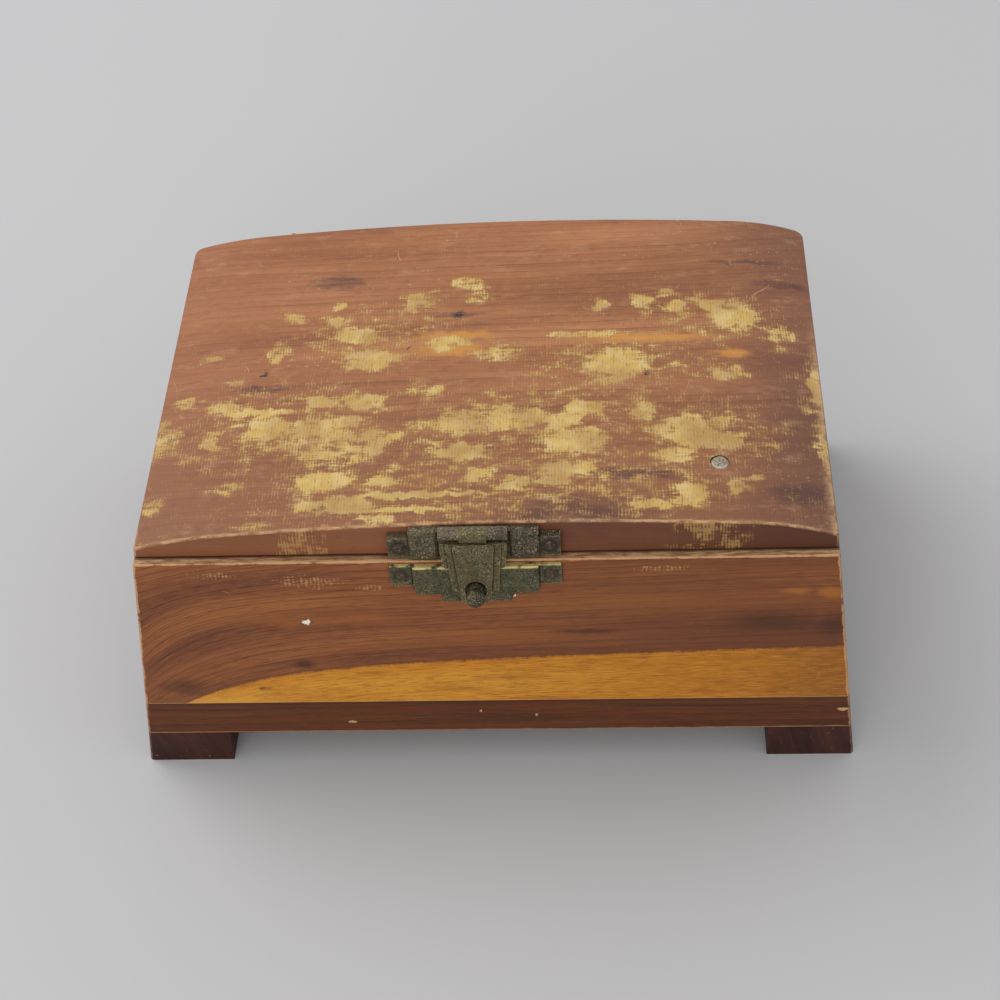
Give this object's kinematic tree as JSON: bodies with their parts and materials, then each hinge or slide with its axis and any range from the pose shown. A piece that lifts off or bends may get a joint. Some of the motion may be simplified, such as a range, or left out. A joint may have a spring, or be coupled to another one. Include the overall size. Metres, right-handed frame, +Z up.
{
  "type": "wooden jewelry box",
  "caption": "Small wooden jewelry box with flared ends, an arched hinged lid, a swinging brass hasp over a stud, and runners for feet.",
  "frame": {"origin": "middle of the whole outline, on the table under the runners", "axes": "+X to the box's right, +Y to its back where the hinges are, +Z up; the hasp faces -Y"},
  "size_m": [0.1496, 0.1064, 0.0694],
  "materials": {
    "cedar_front": "oiled red cedar heartwood with a sapwood wedge, worn",
    "cedar_case": "oiled red cedar, worn",
    "cedar_bottom": "dark red cedar, stained",
    "cedar_feet": "dark maroon cedar, stained",
    "cedar_lid": "red cedar, top scratched and worn to pale wood in patches",
    "hasp_brass": "pressed brass with an olive brown patina, bright on its edges",
    "stud_brass": "turned brass, tarnished",
    "nail_steel": "steel nails, rusted, one pair rubbed bright",
    "tack_steel": "domed steel tack, dulled",
    "brad_steel": "dull steel",
    "pin_steel": "dull steel wire",
    "hinge_brass": "stamped brass, tarnished",
    "hinge_nail_brass": "small brass nails, tarnished"
  },
  "bodies": {
    "case": {"front_board": "cedar_front", "back_board": "cedar_case", "left_end_board": "cedar_case", "right_end_board": "cedar_case", "bottom_board": "cedar_bottom", "left_runner": "cedar_feet", "right_runner": "cedar_feet", "bottom_brads": "brad_steel", "left_runner_brads": "brad_steel", "right_runner_brads": "brad_steel", "latch_lower_plate": "hasp_brass", "latch_stud": "stud_brass", "latch_lower_nails": "nail_steel", "left_hinge_body_leaf": "hinge_brass", "left_hinge_body_nails": "hinge_nail_brass", "left_hinge_pin": "pin_steel", "right_hinge_body_leaf": "hinge_brass", "right_hinge_body_nails": "hinge_nail_brass", "right_hinge_pin": "pin_steel"},
    "lid": {"lid_board": "cedar_lid", "lid_tack": "tack_steel", "latch_upper_plate": "hasp_brass", "latch_hinge_pin": "pin_steel", "latch_upper_nails": "nail_steel", "left_hinge_lid_leaf": "hinge_brass", "right_hinge_lid_leaf": "hinge_brass", "left_hinge_lid_nails": "hinge_nail_brass", "right_hinge_lid_nails": "hinge_nail_brass"},
    "flap": {"latch_flap": "hasp_brass"}
  },
  "joints": [
    {"name": "lid_hinge", "type": "hinge", "parent": "case", "child": "lid", "pos_m": [0, 0.0518, 0.0603], "axis": [-1, 0, 0], "range_deg": [0, 180]},
    {"name": "flap_hinge", "type": "hinge", "parent": "lid", "child": "flap", "pos_m": [-0.0016, -0.0468, 0.0681], "axis": [-1, 0, 0], "range_deg": [0, 180]}
  ]
}
